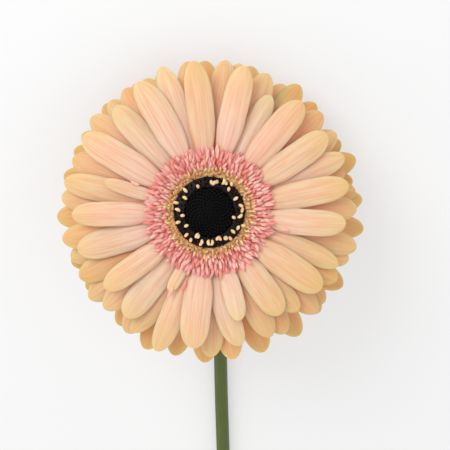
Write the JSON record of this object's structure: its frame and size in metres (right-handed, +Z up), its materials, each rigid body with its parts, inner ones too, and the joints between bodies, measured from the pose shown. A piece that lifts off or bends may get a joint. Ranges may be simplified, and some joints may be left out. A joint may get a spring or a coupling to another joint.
{
  "type": "cut gerbera",
  "caption": "Peach cut gerbera lying face up on a long leafless stem: overlapping ray petals around a pink floret ring and a near-black disc.",
  "frame": {"origin": "middle of the flower's footprint, on the surface that it lies on", "axes": "+Z up from the surface, +Y along the stem towards the head, +X to the right seen from above with the head at the top"},
  "size_m": [0.11, 0.5059, 0.0597],
  "materials": {
    "ray_peach": "satin",
    "ray_sand": "satin",
    "trans_pink": "satin",
    "trans_cream": "satin",
    "disc_maroon": "satin",
    "disc_black": "satin",
    "receptacle_flesh": "matte",
    "bract_green": "matte",
    "stem_green": "satin"
  },
  "bodies": {
    "root": {"upper_ray_01": "ray_peach", "upper_ray_02": "ray_peach", "upper_ray_03": "ray_peach", "upper_ray_04": "ray_peach", "upper_ray_05": "ray_peach", "upper_ray_06": "ray_peach", "upper_ray_07": "ray_peach", "upper_ray_08": "ray_peach", "upper_ray_09": "ray_peach", "upper_ray_10": "ray_peach", "upper_ray_11": "ray_peach", "upper_ray_12": "ray_peach", "upper_ray_13": "ray_peach", "upper_ray_14": "ray_peach", "upper_ray_15": "ray_peach", "upper_ray_16": "ray_peach", "upper_ray_17": "ray_peach", "upper_ray_18": "ray_peach", "upper_ray_19": "ray_peach", "upper_ray_20": "ray_peach", "upper_ray_21": "ray_peach", "upper_ray_22": "ray_peach", "upper_ray_23": "ray_peach", "upper_ray_24": "ray_peach", "upper_ray_25": "ray_peach", "upper_ray_26": "ray_peach", "upper_ray_27": "ray_peach", "upper_ray_28": "ray_peach", "lower_ray_01": "ray_sand", "lower_ray_02": "ray_sand", "lower_ray_03": "ray_sand", "lower_ray_04": "ray_sand", "lower_ray_05": "ray_sand", "lower_ray_06": "ray_sand", "lower_ray_07": "ray_sand", "lower_ray_08": "ray_sand", "lower_ray_09": "ray_sand", "lower_ray_10": "ray_sand", "lower_ray_11": "ray_sand", "lower_ray_12": "ray_sand", "lower_ray_13": "ray_sand", "lower_ray_14": "ray_sand", "lower_ray_15": "ray_sand", "lower_ray_16": "ray_sand", "lower_ray_17": "ray_sand", "lower_ray_18": "ray_sand", "lower_ray_19": "ray_sand", "lower_ray_20": "ray_sand", "lower_ray_21": "ray_sand", "lower_ray_22": "ray_sand", "lower_ray_23": "ray_sand", "lower_ray_24": "ray_sand", "pink_trans_florets": "trans_pink", "cream_trans_florets": "trans_cream", "open_disc_florets": "disc_maroon", "disc_buds": "disc_black", "receptacle": "receptacle_flesh", "inner_bracts": "bract_green", "outer_bracts": "bract_green", "stem": "stem_green"}
  },
  "joints": []
}
